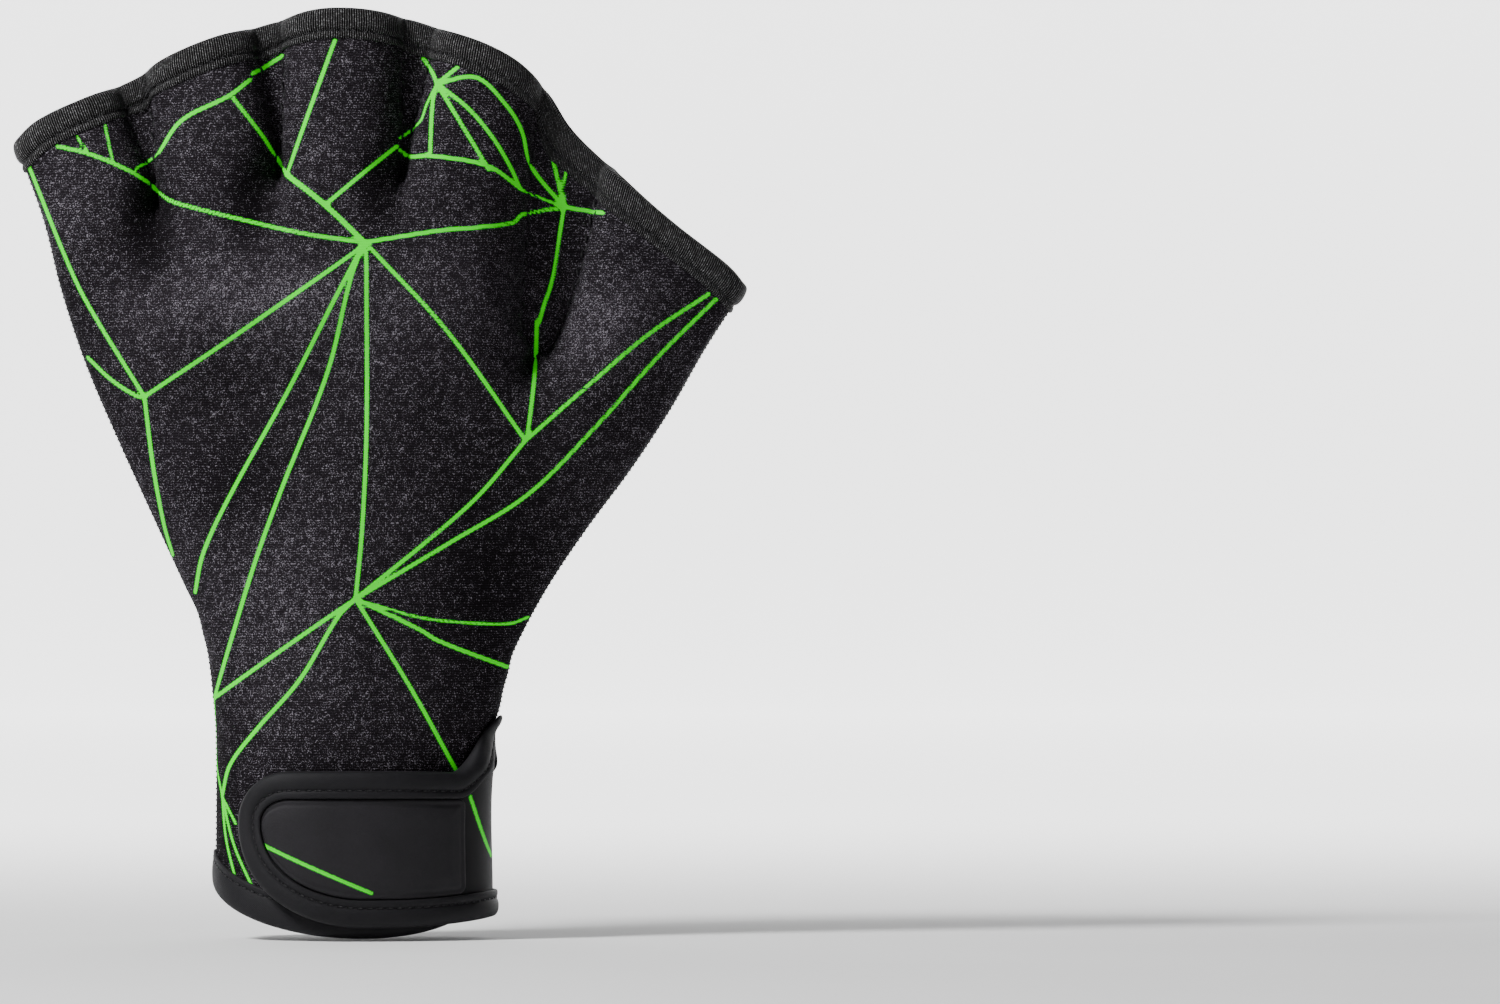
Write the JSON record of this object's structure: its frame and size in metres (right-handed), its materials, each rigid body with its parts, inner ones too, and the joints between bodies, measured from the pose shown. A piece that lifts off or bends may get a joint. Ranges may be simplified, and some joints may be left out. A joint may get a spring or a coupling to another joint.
{
  "type": "webbed swim glove",
  "caption": "Fingerless webbed swim glove for the left hand, in printed neoprene with taped edges and a wrist strap that closes with hook and loop.",
  "frame": {"origin": "middle of the wrist opening, at the height of the hem's mean level", "axes": "+Z from the wrist to the fingertips, +X to the thumb's side, -Y out of the back of the hand, which is the face that the picture shows"},
  "size_m": [0.1783, 0.0558, 0.2244],
  "materials": {
    "printed_neoprene": "near-black jersey over neoprene, printed with a network of thin bright green lines",
    "ribbed_tape": "black ribbed elastic tape with a slight sheen, folded over and stitched",
    "smooth_tape": "smooth dark grey knitted binding tape",
    "strap_cloth": "dark grey brushed jersey over neoprene",
    "label_cloth": "plain smooth dark cloth field, left unprinted",
    "hook_tape": "black hook-and-loop tape"
  },
  "bodies": {
    "root": {"back_panel": "printed_neoprene", "palm_panel": "printed_neoprene", "tip_binding": "ribbed_tape", "cuff_binding": "smooth_tape", "wrist_strap": "strap_cloth", "strap_binding": "smooth_tape", "label_patch": "label_cloth", "hook_patch": "hook_tape"}
  },
  "joints": []
}
